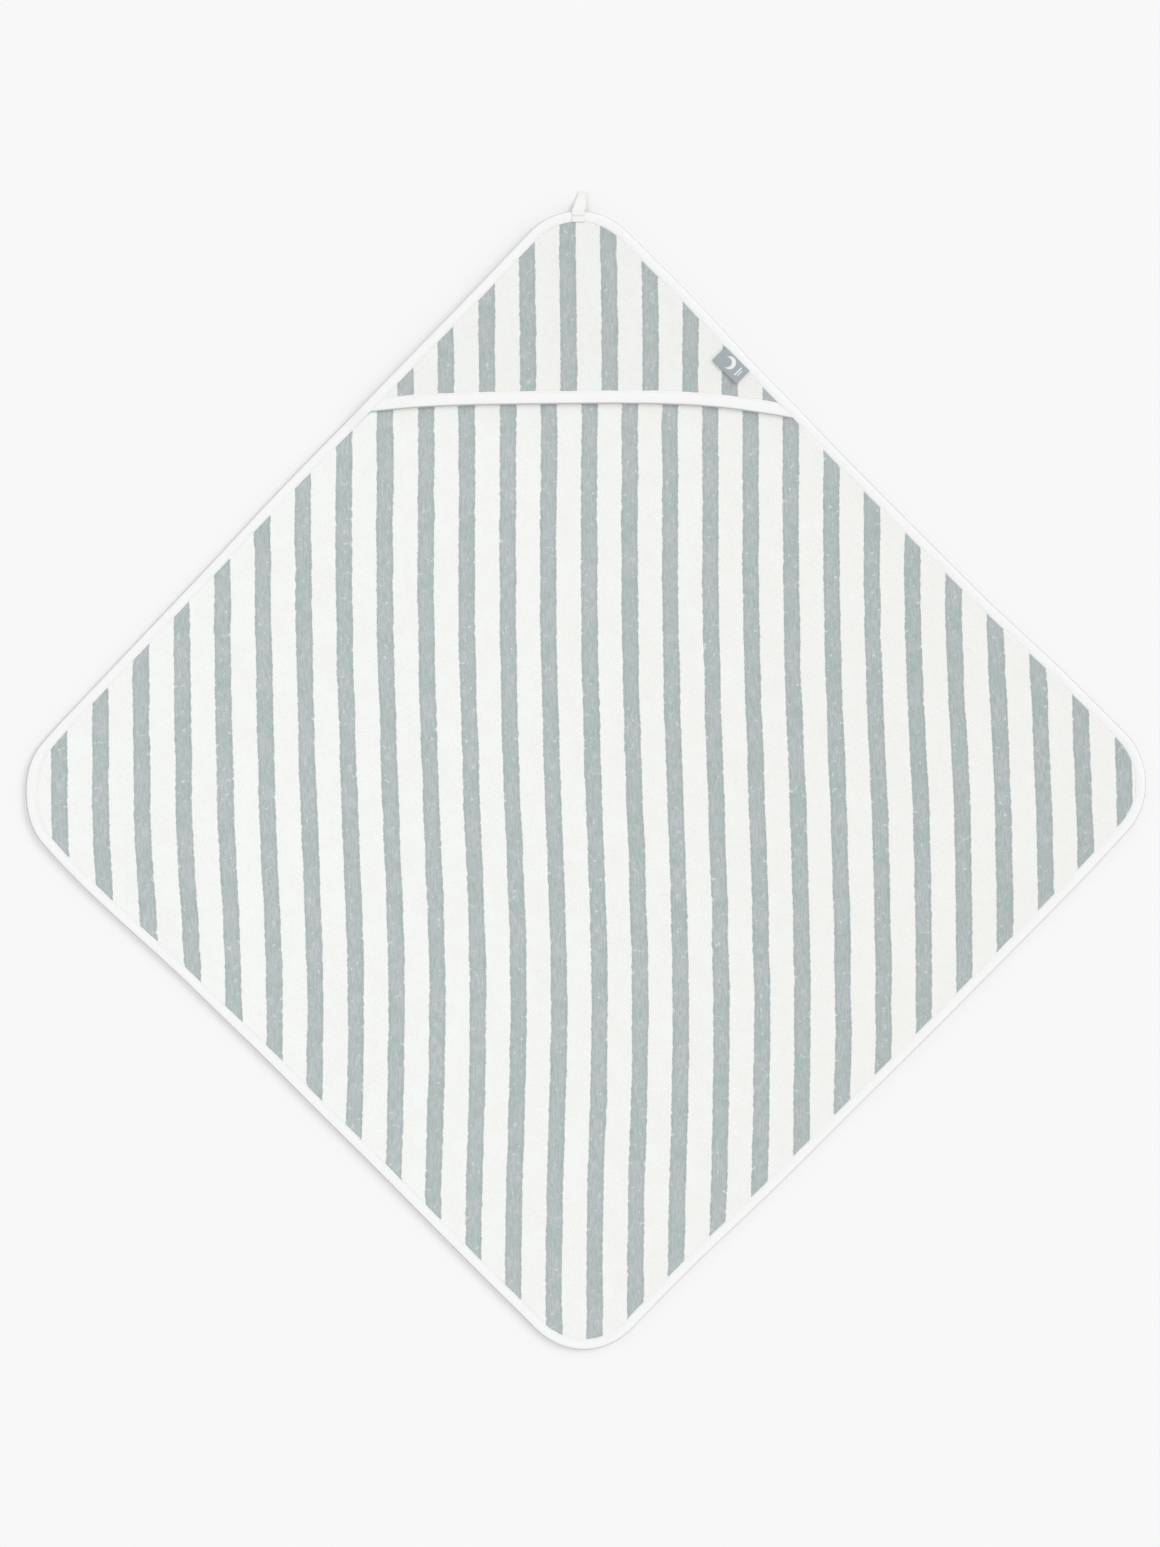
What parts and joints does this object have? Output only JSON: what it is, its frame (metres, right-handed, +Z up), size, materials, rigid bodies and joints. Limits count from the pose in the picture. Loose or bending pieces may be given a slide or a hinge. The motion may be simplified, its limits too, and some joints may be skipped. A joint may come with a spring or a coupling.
{
  "type": "hooded baby towel",
  "caption": "Square striped terry baby towel with a hooded corner, bias-bound edges, a tape hanging loop and a small folded label, laid out flat.",
  "frame": {"origin": "underside of the terry square, in the middle of the square", "axes": "+Z up from the surface the towel lies on, +Y from the middle towards the tip of the hood, +X towards the side the label is on"},
  "size_m": [1.0092, 1.0265, 0.0145],
  "materials": {
    "terry": "cotton terry loops, white with soft grey-green stripes",
    "bias_tape": "plain woven cotton, matt white",
    "loop_tape": "herringbone cotton tape, ivory",
    "thread": "polyester sewing thread, white, slight sheen",
    "woven_label": "damask woven label, grey-blue with a white mark",
    "satin_label": "blank satin ribbon, white"
  },
  "bodies": {
    "towel": {"towel_panel": "terry", "edge_binding": "bias_tape", "edge_stitching": "thread", "loop_bar_tack": "thread", "care_label": "satin_label"},
    "hood": {"hood_panel": "terry", "hood_binding": "bias_tape", "hood_stitching": "thread"},
    "loop": {"hanging_loop": "loop_tape"},
    "label": {"side_label": "woven_label"}
  },
  "joints": [
    {"name": "hood_open", "type": "hinge", "parent": "towel", "child": "hood", "pos_m": [0, 0.49555, 0.0093], "axis": [-1, 0, 0], "range_deg": [0, 20]},
    {"name": "loop_swing", "type": "hinge", "parent": "towel", "child": "loop", "pos_m": [0, 0.50495, 0.0093], "axis": [1, 0, 0], "range_deg": [0, 150]},
    {"name": "label_flip", "type": "hinge", "parent": "towel", "child": "label", "pos_m": [0.14347, 0.37399, 0.0102], "axis": [-0.7071, 0.7071, 0], "range_deg": [0, 170]}
  ]
}
